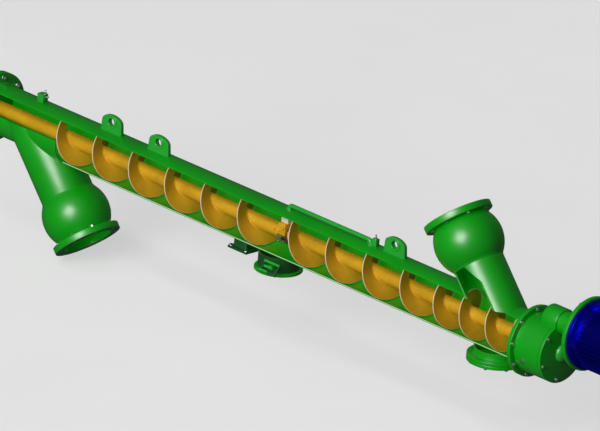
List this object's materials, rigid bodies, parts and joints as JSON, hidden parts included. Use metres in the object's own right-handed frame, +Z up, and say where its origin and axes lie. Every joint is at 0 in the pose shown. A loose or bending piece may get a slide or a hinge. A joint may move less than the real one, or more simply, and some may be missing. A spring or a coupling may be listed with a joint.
{
  "type": "tubular screw conveyor",
  "caption": "Tubular screw conveyor with a long cut-away window, slanted ball-jointed inlet and outlet flanges, hanger bearing, gearbox and motor.",
  "frame": {"origin": "on the flat ring of the inlet flange, in the part's middle plane, on the side towards the drive end", "axes": "+X along the tube towards the drive end, +Z up square to the tube, -Y towards the cut-away window"},
  "size_m": [5.0878, 0.396, 1.2607],
  "materials": {
    "green_paint": "gloss paint",
    "screw_paint": "satin paint",
    "motor_paint": "gloss paint",
    "bearing_steel": "cast and machined",
    "journal_steel": "ground"
  },
  "bodies": {
    "housing": {"housing_tube": "green_paint", "drive_end_flange": "green_paint", "discharge_end_flange": "green_paint", "discharge_end_plate": "green_paint", "discharge_bearing_housing": "green_paint", "discharge_bearing_cap": "green_paint", "inlet_branch": "green_paint", "inlet_ball": "green_paint", "inlet_flange": "green_paint", "outlet_branch": "green_paint", "outlet_ball": "green_paint", "outlet_flange": "green_paint", "lifting_lug_1": "green_paint", "lifting_lug_2": "green_paint", "lifting_lug_3": "green_paint", "mid_hatch_latch": "green_paint", "underside_bracket": "green_paint", "grease_block_1": "green_paint", "grease_block_2": "green_paint", "grease_pipe": "green_paint", "hanger_post": "bearing_steel", "hanger_bearing": "screw_paint", "hanger_bearing_cap": "bearing_steel", "mid_hatch_collar": "green_paint", "mid_hatch_cover": "green_paint", "feed_hatch_spout": "green_paint", "feed_hatch_cover": "green_paint", "gearbox_housing": "green_paint", "gearbox_end_cover": "green_paint", "gearbox_boss": "green_paint", "gear_input_housing": "green_paint", "motor_adapter": "green_paint", "motor_flange": "green_paint", "motor_front_shield": "motor_paint", "motor_body": "motor_paint", "motor_fan_cowl": "motor_paint", "motor_terminal_box": "motor_paint"},
    "screw": {"discharge_shaft": "screw_paint", "feed_shaft": "screw_paint", "hanger_journal": "journal_steel", "tail_journal": "journal_steel", "drive_journal": "journal_steel", "discharge_flights": "screw_paint", "middle_flights": "screw_paint", "feed_flights": "screw_paint"}
  },
  "joints": [
    {"name": "screw_spin", "type": "hinge", "parent": "housing", "child": "screw", "pos_m": [0.51497, 0, -0.5993], "axis": [1, 0, 0], "continuous": true}
  ]
}
